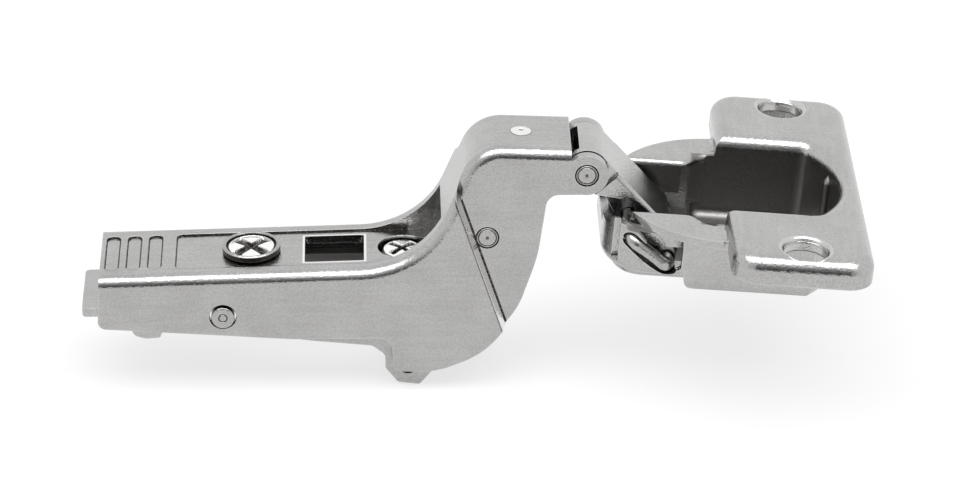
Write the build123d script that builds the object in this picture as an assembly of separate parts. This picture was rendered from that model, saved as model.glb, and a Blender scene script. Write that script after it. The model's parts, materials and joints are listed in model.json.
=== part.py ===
from build123d import *
import os
from math import atan2, cos, degrees, hypot, radians, sin

# Concealed cup hinge with a cranked clip-on arm, fully open.
# X runs along the arm towards the cup, Z points away from the cabinet panel,
# and the hinge is symmetric about y = 0 apart from the bow of the cup axle.
# The origin is the middle of the front hook's seat, where the mounting plate's bar lies.
# All sizes are millimetres, and side outlines are (x, z, corner radius).

# Sheet thicknesses
ARM_SHEET = 1.3
ADAPTER_SHEET = 1.2
LEVER_SHEET = 1.2
LINK_SHEET = 1.1
CUP_SHEET = 1.2

# Arm: a channel, wide behind the crank and narrow at the head
ARM_HALF_WIDTH = 8.1
HEAD_HALF_WIDTH = 6.35
BEND_RADIUS = 1.6
ARM_REAR = (-44.3, 15.4)
CRANK_FOOT = (2.0, 16.4)
CRANK_FOOT_RADIUS = 13.6
CRANK_TOP = (9.8, 34.8)
CRANK_TOP_RADIUS = 6.0
HEAD_FRONT = (23.5, 34.2)
ARM_TOE_X = -2.25
ARM_BASE_Z = 5.35
CREASE_TOP = (8.05, 26.1)
CREASE_BOTTOM = (14.4, 6.3)
CREASE_WIDTH = 0.85
CREASE_INSIDE_SHIFT = -1.0
SCOOP_HALF_WIDTH = 5.3
SCOOP_DEPTH = 0.25
SCOOP_REAR_X = -33.4
SCOOP_FOOT_X = 3.5
SCOOP_TOP = (5.35, 23.0)
SCOOP_FOOT_RADIUS = 3.5
SCOOP_WALL = 0.9
RISER_SHEET = 0.7
WINDOW_X = -10.5
WINDOW_LENGTH = 8.5
WINDOW_WIDTH = 7.9
WINDOW_CORNER_RADIUS = 0.7
RIB_COUNT = 3
RIB_PITCH = 3.08
RIB_REAR_X = -42.6
RIB_LENGTH = 10.4
RIB_WIDTH = 2.0
DIMPLE = (16.45, 34.1)
DIMPLE_RADIUS = 0.3

# Pivots
HEAD_AXLE = (25.7, 30.4)
INNER_AXLE = (11.5, 20.6)
CUP_PIVOT_INNER = (31.85, 22.6)
CUP_PIVOT_OUTER = (37.1, 18.1)
EAR_RADIUS = 3.1
EAR_BASE_DROP = 3.05
AXLE_RADIUS = 1.5
RIVET_RADIUS = 1.74
RIVET_STAND = 0.05
BOW_WIRE_RADIUS = 1.0
BOW_BEND_RADIUS = 1.4
RUNNING_CLEARANCE = 0.06
LINK_SIDE_CLEARANCE = 0.3

# Outer link, measured square to its plate and along it
LINK_LEAN = 49.3
LINK_HALF_WIDTH = 5.6
LINK_BOSS_RADIUS = 3.2
LINK_EYE_RADIUS = 1.75
LINK_SHOULDER = 3.4
LINK_PLATE_END = 15.0
LINK_BEND_RADIUS = 0.7

# Inner link, with a slotted eye on its axle
INNER_LINK_HALF_WIDTH = 3.2
INNER_LINK_SHEET = 1.2
INNER_LINK_WALL = 1.3
INNER_LINK_GAP = 0.25
INNER_LINK_DEPTH = 2.8
INNER_LINK_EYE_RADIUS = 1.8
SLOT_ANGLE = 19.5
SLOT_CENTRE = (12.99, 21.205)
SLOT_START = -1.08
SLOT_END = 0.96
SLOT_RADIUS = 2.18
SLOT_WALL = 0.7

# Cup, in its own frame: u along the flange, n out of the pocket
CUP_ORIGIN = (55.7, 26.8)
CUP_TILT = 5.0
SCREW_SPACING = 45.0
SCREW_HOLE_RADIUS = 3.1
SCREW_HOLE_RIM = 0.65
FLANGE_HALF_WIDTH = 26.8
FLANGE_LEFT_U = -10.2
FLANGE_RIGHT_U = 9.8
FLANGE_HEIGHT = 4.0
FLANGE_EDGE_RADIUS = 2.0
FLANGE_CORNER_RADIUS = 4.0
SKIRT_FOOT_RADIUS = 0.7
DRUM_CENTRE_U = -9.5
DRUM_RADIUS = 17.5
DRUM_HALF_WIDTH = 12.2
DRUM_DEPTH = 14.0
DRUM_BOTTOM_RADIUS = 2.6
DRUM_LEFT_U = -15.4
BOX_LEFT_U = -27.2
BOX_RIGHT_U = -14.2
BOX_CORNER_RADIUS = 7.0
BOX_DEPTH = 11.8
BOX_BOTTOM_RADIUS = 2.2
TUB_LEFT_U = -25.6
TUB_HALF_WIDTH = 9.4
TUB_CORNER_RADIUS = 4.5
TUB_FLOOR_CLEARANCE = 0.16
TUB_BOTTOM_RADIUS = 1.6
TUB_SHEET = 0.9
RIM_LEVEL = -3.0
RIM_RADIUS = 16.5
RIM_ROLL = 0.9
POCKET_HALF_WIDTH = 10.9
POCKET_START_U = -12.4
POCKET_ROLL = 1.8
POCKET_CORNER_RADIUS = 2.0
POCKET_BOTTOM_RADIUS = 1.4
NECK_HALF_WIDTH = 8.1
NECK_END_U = -14.8
LIP_MIDDLE_U = -19.4
LIP_LENGTH = 8.4
LIP_BOTTOM = -8.0
NOTCH_HALF_WIDTH = 4.8
NOTCH_DEPTH = 6.9
SLIT_U = -25.4
SLIT_WIDTH = 0.9
SLIT_HEIGHT = 6.8
SLIT_MIDDLE = -6.9
CHEEK_WINDOW_RIGHT_U = -15.9

# Depth cam and side screw
CAM_X = -22.5
CAM_HEAD_RADIUS = 4.2
CAM_HEAD_HEIGHT = 0.9
CAM_GROOVE_RADIUS = 3.35
CAM_GROOVE_WIDTH = 0.4
CAM_SHAFT_RADIUS = 2.8
CAM_RING_RADIUS = 4.4
CAM_RING_HEIGHT = 0.6
SIDE_SCREW_X = -0.7
SIDE_SCREW_RADIUS = 2.95
SIDE_SCREW_TOP = 15.9
SIDE_SCREW_HEAD_HEIGHT = 2.2
SIDE_SCREW_NECK_RADIUS = 1.5
SIDE_SCREW_FOOT_RADIUS = 2.5
SIDE_SCREW_HOLE_CLEARANCE = 0.6

# Rear tilt pin
TILT_PIN = (-26.63, 8.98)
TILT_PIN_RADIUS = 1.68
TILT_HOLE_RADIUS = 1.93
TILT_HOLE_LIFT = 0.18

# Adapter inside the arm
ADAPTER_SIDE_CLEARANCE = 0.3
ADAPTER_HALF_WIDTH = ARM_HALF_WIDTH - ARM_SHEET - ADAPTER_SIDE_CLEARANCE
ADAPTER_TOP = 12.9
ADAPTER_BEND = 0.9
ADAPTER_WEB_REAR_X = -34.5
ADAPTER_WINDOW_LENGTH = 12.5
HOOK_SEAT_RADIUS = 1.4
HOOK_MOUTH_ANGLE = 28.8
HOOK_MOUTH_REACH = 9.2
DEPTH_TRAVEL = 1.5

# Release lever and its spring
LEVER_AXLE = (-36.9, 7.6)
LEVER_AXLE_RADIUS = 1.0
LEVER_TOP = 9.7
LEVER_BEND = 0.4
LEVER_WEB_FRONT_X = -39.2
LEVER_TAB_X = -47.0
LEVER_TAB_ROOT_X = -42.5
LEVER_TAB_WIDTH = 12.0
LEVER_TAB_HEIGHT = 1.4
LEVER_WIRE = 0.7
LEVER_TURNS = 8

# Closing springs
CLOSING_WIRE = 0.34
CLOSING_TURNS = 7
CLOSING_SPRING_GAP = 0.25

# Longer than any cut needs to be
FAR = 60

os.makedirs("parts", exist_ok=True)


# Shapes that several pieces use

def side_face(corners):
    """Face in the XZ plane from (x, z, corner radius) points."""
    path = FilletPolyline(*[(x, z) for x, z, r in corners], radius=[r for x, z, r in corners], close=True)
    return Plane.XZ * make_face(path)


def slab(corners, y_from, y_to):
    """Side profile carried from y_from to y_to."""
    return Pos(0, y_to, 0) * extrude(side_face(corners), amount=y_to - y_from)


def across(point, radius, y_from=-FAR, y_to=FAR):
    """Round bar along Y."""
    return Pos(point[0], y_to, point[1]) * extrude(Plane.XZ * Circle(radius), amount=y_to - y_from)


def obround(point, angle, start, end, radius, y_from=-FAR, y_to=FAR):
    """Slot-shaped bar along Y, its centre line from start to end along the angle."""
    turned = Rot(0, 0, angle) * Pos((start + end) / 2, 0) * SlotCenterToCenter(end - start, 2 * radius)
    return Pos(point[0], y_to, point[1]) * extrude(Plane.XZ * turned, amount=y_to - y_from)


def channel(half_width, top, sheet, bend):
    """Long channel of folded sheet along X, open below, its bends rounded outside."""
    outside = Pos(0, top - FAR / 2) * Rectangle(2 * half_width, FAR)
    outside = fillet(outside.vertices().group_by(Axis.Y)[-1], bend)
    inside = Pos(0, top - sheet - FAR / 2) * Rectangle(2 * (half_width - sheet), FAR)
    return extrude(Plane.YZ * (outside - inside), amount=FAR, both=True)


def inset(points, gap):
    """Corner points of an open line moved gap to the right of its direction of travel."""
    sides = []
    for (xa, za), (xb, zb) in zip(points, points[1:]):
        length = hypot(xb - xa, zb - za)
        sides.append(((zb - za) / length, -(xb - xa) / length))
    moved = []
    for i, (x, z) in enumerate(points):
        before = sides[max(i - 1, 0)]
        after = sides[min(i, len(sides) - 1)]
        share = gap / (1 + before[0] * after[0] + before[1] * after[1])
        moved.append((x + share * (before[0] + after[0]), z + share * (before[1] + after[1])))
    return moved


def stretched(start, end, extra):
    """Point beyond the end of a line by an extra length."""
    share = extra / hypot(end[0] - start[0], end[1] - start[1])
    return end[0] + share * (end[0] - start[0]), end[1] + share * (end[1] - start[1])


def cross_recess(reach, width, depth):
    """Four-armed recess at the origin, open upwards, its arms between X and Y."""
    bar = Box(2 * reach, width, depth)
    return Pos(0, 0, -depth / 2) * Rot(0, 0, 45) * (bar + Rot(0, 0, 90) * bar)


def coil_sleeve(point, inner, wire, turns, y_start):
    """Close-wound coil round an axis along Y, as a sleeve with one ridge for each turn."""
    outer = inner + wire
    valley = outer - 0.3 * wire
    corners = [(inner, y_start), (inner, y_start + turns * wire)]
    for i in range(turns, 0, -1):
        corners += [(valley, y_start + i * wire), (outer, y_start + (i - 0.5) * wire)]
    corners.append((valley, y_start))
    profile = make_face(Polyline(*corners, close=True))
    return Pos(point[0], 0, point[1]) * revolve(profile, axis=Axis.Y)


# Arm

TOP_LINE = [ARM_REAR, CRANK_FOOT, CRANK_TOP, HEAD_FRONT]
TOP_WIRE = Plane.XZ * FilletPolyline(*TOP_LINE, radius=[CRANK_FOOT_RADIUS, CRANK_TOP_RADIUS])
WEB_SLOPE = (CRANK_FOOT[1] - ARM_REAR[1]) / (CRANK_FOOT[0] - ARM_REAR[0])


def web_top(x):
    """Height of the arm's flat top behind the crank."""
    return ARM_REAR[1] + WEB_SLOPE * (x - ARM_REAR[0])


def web_place(x, lift):
    """Location on the arm's flat top, square to it."""
    return Pos(x, 0, web_top(x)) * Rot(0, -degrees(atan2(WEB_SLOPE, 1)), 0) * Pos(0, 0, lift)


def top_corners(gap, line=TOP_LINE):
    """The arm's top line, set in by gap, as corners with radii."""
    radii = [0, CRANK_FOOT_RADIUS + gap, CRANK_TOP_RADIUS - gap, 0]
    return [(x, z, r) for (x, z), r in zip(inset(line, gap), radii)]


def round_top(shape, half_width):
    """Bend radius along both long top edges."""
    def on_top(edge):
        m = edge.position_at(0.5)
        return abs(abs(m.Y) - half_width) < 0.01 and TOP_WIRE.distance_to(Vector(m.X, 0, m.Z)) < 0.02

    return fillet([e for e in shape.edges() if on_top(e)], BEND_RADIUS)


def crease_x(z, shift):
    slope = (CREASE_BOTTOM[0] - CREASE_TOP[0]) / (CREASE_BOTTOM[1] - CREASE_TOP[1])
    return CREASE_TOP[0] + slope * (z - CREASE_TOP[1]) + shift


def cut_crease(shape, half_out, half_in, shift):
    """Cut the wide channel along the slanted step beside the head."""
    for side in (-1, 1):
        a = Vector(crease_x(FAR, shift) - CREASE_WIDTH, side * half_out, FAR)
        b = Vector(crease_x(-FAR, shift) - CREASE_WIDTH, side * half_out, -FAR)
        c = Vector(crease_x(FAR, shift), side * half_in, FAR)
        normal = (b - a).cross(c - a).normalized()
        if normal.X < 0:
            normal = normal * -1
        shape = split(shape, bisect_by=Plane(origin=a, z_dir=normal), keep=Keep.BOTTOM)
    return shape


def arm_outline():
    """Side outline of the channel: top line, head, curved front edge, toe and rear."""
    ear_base = HEAD_AXLE[1] - EAR_BASE_DROP
    return top_corners(0) + [
        (HEAD_FRONT[0], HEAD_FRONT[1] - 2.0, 0),
        (HEAD_AXLE[0], HEAD_AXLE[1] + 0.5, 0),
        (HEAD_AXLE[0], ear_base, 0),
        (20.15, ear_base, 1.9),
        (18.75, 17.5, 25),
        (16.0, 9.3, 12),
        (11.0, 2.6, 12),
        (4.0, -0.35, 12),
        (ARM_TOE_X, -0.1, 1.2),
        (ARM_TOE_X, ARM_BASE_Z, 2.2),
        (-16.3, ARM_BASE_Z, 30),
        (ARM_REAR[0] - 0.4, 7.4, 1.2),
    ]


def arm_hollow():
    """Space inside the channel, left solid where the scoop's floor and riser pass."""
    longer = [stretched(CRANK_FOOT, ARM_REAR, 5), CRANK_FOOT, CRANK_TOP, stretched(CRANK_TOP, HEAD_FRONT, 9)]
    face = top_corners(ARM_SHEET, longer)
    face += [(face[3][0], -FAR, 0), (face[0][0], -FAR, 0)]
    narrow_half = HEAD_HALF_WIDTH - ARM_SHEET
    wide_half = ARM_HALF_WIDTH - ARM_SHEET
    narrow = slab(face, -narrow_half, narrow_half)
    wide = cut_crease(slab(face, -wide_half, wide_half), wide_half, narrow_half, CREASE_INSIDE_SHIFT)
    foot, top = inset([(SCOOP_FOOT_X, web_top(SCOOP_FOOT_X) - SCOOP_DEPTH), SCOOP_TOP], RISER_SHEET)
    floor = web_top(SIDE_SCREW_X) - SCOOP_DEPTH - ARM_SHEET
    rear = WINDOW_X + 2.5
    boss = [(rear, floor, 0), (foot[0] + 0.1, floor, 4.0), (*top, 0), (2.0, 27.5, 0), (rear, 27.5, 0)]
    boss_half = SCOOP_HALF_WIDTH + SCOOP_WALL
    return narrow + wide - slab(boss, -boss_half, boss_half)


def scoop():
    """Shallow trough in the flat top that ends in a riser up the crank."""
    corners = [
        (SCOOP_REAR_X, web_top(SCOOP_REAR_X) - SCOOP_DEPTH, 0),
        (SCOOP_FOOT_X, web_top(SCOOP_FOOT_X) - SCOOP_DEPTH, SCOOP_FOOT_RADIUS),
        (*SCOOP_TOP, 0),
        (2.0, 26.0, 0),
        (SCOOP_REAR_X, 26.0, 0),
    ]
    cut = slab(corners, -SCOOP_HALF_WIDTH, SCOOP_HALF_WIDTH)
    return fillet(cut.edges().filter_by(Axis.Z).group_by(Axis.X)[0], 1.0)


def make_arm():
    narrow = round_top(slab(arm_outline(), -HEAD_HALF_WIDTH, HEAD_HALF_WIDTH), HEAD_HALF_WIDTH)
    wide = round_top(slab(arm_outline(), -ARM_HALF_WIDTH, ARM_HALF_WIDTH), ARM_HALF_WIDTH)
    wide = cut_crease(wide, ARM_HALF_WIDTH, HEAD_HALF_WIDTH, 0)
    body = narrow + wide + across(HEAD_AXLE, EAR_RADIUS, -HEAD_HALF_WIDTH, HEAD_HALF_WIDTH)
    body -= arm_hollow()
    body -= scoop()
    body -= Pos(HEAD_FRONT[0] + 5, 0, HEAD_AXLE[1]) * Box(10, 2 * (HEAD_HALF_WIDTH - ARM_SHEET), 20)
    body -= across(HEAD_AXLE, RIVET_RADIUS)
    body -= across(INNER_AXLE, RIVET_RADIUS)
    body -= across((TILT_PIN[0], TILT_PIN[1] + TILT_HOLE_LIFT), TILT_HOLE_RADIUS)
    window = RectangleRounded(WINDOW_LENGTH, WINDOW_WIDTH, WINDOW_CORNER_RADIUS)
    for x, opening in (
        (WINDOW_X, window),
        (CAM_X, Circle(CAM_SHAFT_RADIUS + RUNNING_CLEARANCE)),
        (SIDE_SCREW_X, Circle(SIDE_SCREW_RADIUS + SIDE_SCREW_HOLE_CLEARANCE)),
    ):
        body -= Pos(x, 0, web_top(x)) * extrude(opening, amount=6, both=True)
    rib_cut = extrude(Rot(0, 0, 90) * SlotOverall(RIB_LENGTH, RIB_WIDTH), amount=5)
    for i in range(RIB_COUNT):
        body -= web_place(RIB_REAR_X + i * RIB_PITCH, -SCOOP_DEPTH) * rib_cut
    return body - Pos(DIMPLE[0], 0, DIMPLE[1] + 0.5) * Cone(DIMPLE_RADIUS, DIMPLE_RADIUS + 1, 1)


# Adapter and release lever

def make_adapter():
    """Inner channel that clips on the mounting plate and carries the arm."""
    half = ADAPTER_HALF_WIDTH
    inner_half = half - ADAPTER_SHEET
    cheek = [
        (-41.0, 11.0, 1.0),
        (ADAPTER_WEB_REAR_X, ADAPTER_TOP, 0),
        (5.4, ADAPTER_TOP, 1.5),
        (5.4, 3.6, 1.0),
        (3.6, -0.8, 0.6),
        (1.66, -3.16, 0.6),
        (-1.5, -2.75, 0.6),
        (-3.3, -0.4, 0.6),
        (-3.3, 1.8, 1.2),
        (-5.2, 3.3, 1.5),
        (-14.2, 4.25, 10),
        (-30.0, 6.9, 10),
        (-41.0, 7.2, 1.0),
    ]
    body = slab(cheek, -half, half) & channel(half, ADAPTER_TOP, ADAPTER_SHEET, ADAPTER_BEND)
    body -= Pos(ADAPTER_WEB_REAR_X - 10, 0, ADAPTER_TOP) * Box(20, 2 * inner_half, 8)
    mouth = Box(HOOK_MOUTH_REACH, FAR, 2 * HOOK_SEAT_RADIUS)
    body -= Rot(0, -HOOK_MOUTH_ANGLE, 0) * Pos(HOOK_MOUTH_REACH / 2, 0, 0) * mouth
    body -= across((0, 0), HOOK_SEAT_RADIUS)
    body -= obround(TILT_PIN, 0, -DEPTH_TRAVEL, DEPTH_TRAVEL, TILT_PIN_RADIUS + RUNNING_CLEARANCE)
    body -= across(LEVER_AXLE, LEVER_AXLE_RADIUS)
    window = RectangleRounded(ADAPTER_WINDOW_LENGTH, WINDOW_WIDTH, WINDOW_CORNER_RADIUS)
    body -= Pos(WINDOW_X, 0, ADAPTER_TOP) * extrude(window, amount=4, both=True)
    neck_slot = SlotCenterToCenter(2 * DEPTH_TRAVEL, 2 * (SIDE_SCREW_NECK_RADIUS + 0.1))
    body -= Pos(SIDE_SCREW_X, 0, ADAPTER_TOP) * extrude(neck_slot, amount=4, both=True)
    return body


def make_release_lever():
    """Folded lever between the adapter's cheeks, with a finger tab behind."""
    half = ADAPTER_HALF_WIDTH - ADAPTER_SHEET - 0.2
    low = LEVER_TOP - LEVER_SHEET
    cheek = [
        (-44.0, LEVER_TOP, 0),
        (-35.0, LEVER_TOP, 0.6),
        (-35.0, 6.4, 1.0),
        (-35.9, 4.25, 0.4),
        (-37.9, 4.1, 1.2),
        (-39.6, 4.6, 1.2),
        (-41.2, low - 0.2, 1.0),
        (-44.0, low, 0),
    ]
    body = slab(cheek, -half, half) & channel(half, LEVER_TOP, LEVER_SHEET, LEVER_BEND)
    tab_middle = Pos((LEVER_TAB_X + LEVER_TAB_ROOT_X) / 2, 0, LEVER_TOP - LEVER_TAB_HEIGHT / 2)
    tab = tab_middle * Box(LEVER_TAB_ROOT_X - LEVER_TAB_X, LEVER_TAB_WIDTH, LEVER_TAB_HEIGHT)
    body += fillet(tab.edges().filter_by(Axis.Z).group_by(Axis.X)[0], 0.8)
    body -= Pos(LEVER_WEB_FRONT_X + 10, 0, LEVER_TOP) * Box(20, 2 * (half - LEVER_SHEET), 10)
    return body - across(LEVER_AXLE, LEVER_AXLE_RADIUS + RUNNING_CLEARANCE)


def make_lever_axle():
    return across(LEVER_AXLE, LEVER_AXLE_RADIUS, -ADAPTER_HALF_WIDTH, ADAPTER_HALF_WIDTH)


def make_lever_spring():
    """Lever's return spring round its axle."""
    y_start = -LEVER_TURNS * LEVER_WIRE / 2
    return coil_sleeve(LEVER_AXLE, LEVER_AXLE_RADIUS + 0.1, LEVER_WIRE, LEVER_TURNS, y_start)


def make_rear_tilt_pin():
    """Pin through both arm walls, with a small dish in each end."""
    reach = ARM_HALF_WIDTH + 0.15
    pin = across(TILT_PIN, TILT_PIN_RADIUS, -reach, reach)
    pin = chamfer(pin.edges().filter_by(GeomType.CIRCLE), 0.2)
    dish = across(TILT_PIN, TILT_PIN_RADIUS / 2, -reach, -reach + 0.25)
    return pin - dish - mirror(dish, about=Plane.XZ)


# Adjusting screws

def make_depth_cam_screw():
    """Head on the arm's flat top, shaft through it down to the retaining ring."""
    below = ARM_SHEET + 0.7
    head = extrude(Circle(CAM_HEAD_RADIUS), amount=CAM_HEAD_HEIGHT)
    head = chamfer(head.edges().group_by(Axis.Z)[-1], 0.25)
    shaft = Pos(0, 0, -below) * extrude(Circle(CAM_SHAFT_RADIUS), amount=below)
    groove = extrude(Circle(CAM_GROOVE_RADIUS + CAM_GROOVE_WIDTH) - Circle(CAM_GROOVE_RADIUS), amount=1)
    recess = Pos(0, 0, CAM_HEAD_HEIGHT) * cross_recess(3.1, 1.1, 1.3)
    return web_place(CAM_X, 0) * (head + shaft - Pos(0, 0, CAM_HEAD_HEIGHT - 0.2) * groove - recess)


def make_cam_retaining_ring():
    """Flat ring riveted to the cam's shaft under the arm's top."""
    ring = extrude(Circle(CAM_RING_RADIUS) - Circle(CAM_SHAFT_RADIUS), amount=CAM_RING_HEIGHT)
    return web_place(CAM_X, -ARM_SHEET - 0.05 - CAM_RING_HEIGHT) * ring


def make_side_screw():
    """Head in the arm's hole, neck through the adapter's slot, foot under it."""
    adapter_under = ADAPTER_TOP - ADAPTER_SHEET - SIDE_SCREW_TOP
    head = extrude(Circle(SIDE_SCREW_RADIUS), amount=-SIDE_SCREW_HEAD_HEIGHT)
    head = chamfer(head.edges().group_by(Axis.Z)[-1], 0.3)
    neck = extrude(Circle(SIDE_SCREW_NECK_RADIUS), amount=adapter_under - 0.5)
    foot = Pos(0, 0, adapter_under - 0.1) * extrude(Circle(SIDE_SCREW_FOOT_RADIUS), amount=-1.0)
    return Pos(SIDE_SCREW_X, 0, SIDE_SCREW_TOP) * (head + neck + foot - cross_recess(2.3, 0.9, 1.4))


# Axles and links

def make_axle(point):
    """Riveted axle: thin shank between the head's walls, its heads flush in their holes."""
    shank_half = HEAD_HALF_WIDTH - ARM_SHEET
    head_half = HEAD_HALF_WIDTH + RIVET_STAND
    pin = across(point, AXLE_RADIUS, -shank_half, shank_half)
    pin += across(point, RIVET_RADIUS, -head_half, -shank_half)
    return pin + across(point, RIVET_RADIUS, shank_half, head_half)


def link_point(out, along):
    """Point of the outer link: out from the head axle square to its plate, then along it."""
    lean = radians(LINK_LEAN)
    x = HEAD_AXLE[0] + sin(lean) * out + cos(lean) * along
    z = HEAD_AXLE[1] + cos(lean) * out - sin(lean) * along
    return x, z


def link_block(out_top, along_from, y_half=FAR, along_to=FAR):
    """Block aligned with the outer link's plate, from well below it up to out_top."""
    corners = [(out_top, along_from), (out_top, along_to), (-FAR, along_to), (-FAR, along_from)]
    return slab([(*link_point(out, along), 0) for out, along in corners], -y_half, y_half)


def fillet_link_edges(shape):
    """Bend radius along both long edges of the outer link's plate."""
    lean = radians(LINK_LEAN)

    def on_edge(edge):
        m = edge.position_at(0.5)
        dx = m.X - HEAD_AXLE[0]
        dz = m.Z - HEAD_AXLE[1]
        out = dx * sin(lean) + dz * cos(lean)
        along = dx * cos(lean) - dz * sin(lean)
        on_side = abs(abs(m.Y) - LINK_HALF_WIDTH) < 0.01
        return on_side and abs(out - LINK_BOSS_RADIUS) < 0.01 and along > LINK_SHOULDER

    return fillet([e for e in shape.edges() if on_edge(e)], LINK_BEND_RADIUS)


def make_outer_link():
    """Stamped link: narrow rolled head between the ears, wide plate and cheeks below its shoulders."""
    narrow = HEAD_HALF_WIDTH - ARM_SHEET - LINK_SIDE_CLEARANCE
    wide = LINK_HALF_WIDTH
    low = LINK_BOSS_RADIUS - LINK_SHEET
    hx, hz = HEAD_AXLE
    cheek = [
        link_point(LINK_BOSS_RADIUS, 0),
        link_point(LINK_BOSS_RADIUS, LINK_PLATE_END),
        link_point(1.3, LINK_PLATE_END + 0.6),
        link_point(1.3, 9.2),
        (hx + 6.8, hz - 4.4),
        (hx + 4.8, hz - 4.15),
        (hx, hz - LINK_BOSS_RADIUS),
        HEAD_AXLE,
    ]
    cheek = [(x, z, 0) for x, z in cheek]
    head = slab(cheek, -narrow, narrow) & link_block(9, -9, along_to=LINK_SHOULDER + 0.01)
    head += across(HEAD_AXLE, LINK_BOSS_RADIUS, -narrow, narrow)
    plate = slab(cheek, -wide, wide) & link_block(9, LINK_SHOULDER)
    body = fillet_link_edges(head + plate + across(CUP_PIVOT_OUTER, LINK_EYE_RADIUS, -wide, wide))

    hollow = across(HEAD_AXLE, low, -narrow + LINK_SHEET, narrow - LINK_SHEET)
    hollow += link_block(low, 0, narrow - LINK_SHEET)
    hollow += Pos(hx - 5, 0, hz) * Box(8, 2 * (narrow - LINK_SHEET), 18)
    hollow += link_block(low, LINK_SHOULDER + LINK_SHEET, wide - LINK_SHEET)
    hollow += link_block(9, LINK_PLATE_END, wide - LINK_SHEET)
    body -= hollow
    body -= across(HEAD_AXLE, AXLE_RADIUS + RUNNING_CLEARANCE)
    return body - across(CUP_PIVOT_OUTER, BOW_WIRE_RADIUS + RUNNING_CLEARANCE)


def make_inner_link():
    """Folded link under the outer one, with a slotted eye that follows its axle."""
    half = INNER_LINK_HALF_WIDTH
    neck_top = HEAD_AXLE[1] - AXLE_RADIUS - INNER_LINK_GAP
    neck_low = neck_top - INNER_LINK_DEPTH
    px, pz = CUP_PIVOT_INNER
    neck = [
        (10.6, 24.0, 2.0),
        (17.2, neck_top, 4.0),
        (29.0, neck_top, 2.0),
        (px + 1.2, pz + 1.34, 0),
        (px - 1.4, pz - 1.13, 0),
        (28.3, neck_low, 1.0),
        (21.0, neck_low, 2.5),
        (15.6, 18.6, 0),
    ]
    body = slab(neck, -half, half)
    body += obround(SLOT_CENTRE, SLOT_ANGLE, SLOT_START, SLOT_END, SLOT_RADIUS + SLOT_WALL, -half, half)
    body += across(CUP_PIVOT_INNER, INNER_LINK_EYE_RADIUS, -half, half)
    body -= obround(SLOT_CENTRE, SLOT_ANGLE, SLOT_START, SLOT_END, SLOT_RADIUS)
    body -= across(CUP_PIVOT_INNER, BOW_WIRE_RADIUS + RUNNING_CLEARANCE)
    under = neck_top - INNER_LINK_SHEET
    hollow = [
        (2.0, 10.0, 0),
        (2.0, 23.0, 0),
        (10.6, 23.0, 1.0),
        (17.2, under, 3.0),
        (28.6, under, 1.0),
        (px + 3, pz + 1.0, 0),
        (px + 3, 10.0, 0),
    ]
    return body - slab(hollow, -half + INNER_LINK_WALL, half - INNER_LINK_WALL)


# Cup

def cup_place(shape):
    """Carry a shape from the cup's own frame to the part's."""
    return Pos(CUP_ORIGIN[0], 0, CUP_ORIGIN[1]) * Rot(0, CUP_TILT, 0) * shape


def cup_coordinates(point):
    """(u, n) in the cup's own frame of an (x, z) point."""
    dx = point[0] - CUP_ORIGIN[0]
    dz = point[1] - CUP_ORIGIN[1]
    tilt = radians(CUP_TILT)
    return dx * cos(tilt) - dz * sin(tilt), dx * sin(tilt) + dz * cos(tilt)


def strip(u_from, u_to, half_width=FAR):
    """Rectangle from u_from to u_to."""
    return Pos((u_from + u_to) / 2, 0) * Rectangle(u_to - u_from, 2 * half_width)


def disc_plan(radius, half_width, u_from, u_to=FAR):
    """Disc about the drum's centre, cut to a half width and between two u values."""
    return (Pos(DRUM_CENTRE_U, 0) * Circle(radius)) & strip(u_from, u_to, half_width)


def left_rounded_plan(u_from, u_to, half_width, radius):
    """Rectangle from u_from to u_to with both left corners rounded."""
    return fillet(strip(u_from, u_to, half_width).vertices().group_by(Axis.X)[0], radius)


def drawn(plan, n_from, n_to, bottom_radius):
    """Plan carried down from n_from to n_to, its bottom edge rounded."""
    shape = Pos(0, 0, n_from) * extrude(plan, amount=n_to - n_from)
    return fillet(shape.faces().sort_by(Axis.Z)[0].edges(), bottom_radius)


def pocket_plan():
    """Neck and pocket opening seen from above, with rounded steps."""
    half_outline = [
        (-FAR, NECK_HALF_WIDTH),
        (NECK_END_U, NECK_HALF_WIDTH),
        (POCKET_START_U, POCKET_HALF_WIDTH),
        (POCKET_START_U + 3, POCKET_HALF_WIDTH),
    ]
    neck = make_face(Polyline(*half_outline, *[(u, -v) for u, v in reversed(half_outline)], close=True))
    plan = neck + disc_plan(DRUM_RADIUS - CUP_SHEET, POCKET_HALF_WIDTH, POCKET_START_U)
    turns = [v for v in plan.vertices() if v.X > NECK_END_U - 0.1]
    return fillet(turns, POCKET_CORNER_RADIUS)


def rolled_cutter(plan, level, roll, depth):
    """Cutter that leaves a rolled edge of the given radius round the plan at a level."""
    stem = Pos(0, 0, level - depth) * extrude(plan, amount=depth + 0.5)
    plate = Pos(0, 0, level) * extrude(offset(plan, roll + 0.6, kind=Kind.INTERSECTION), amount=3)
    cutter = stem + plate
    underside = [f for f in cutter.faces() if abs(f.center().Z - level) < 0.01][0]
    return fillet(underside.inner_wires()[0].edges(), roll)


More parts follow.
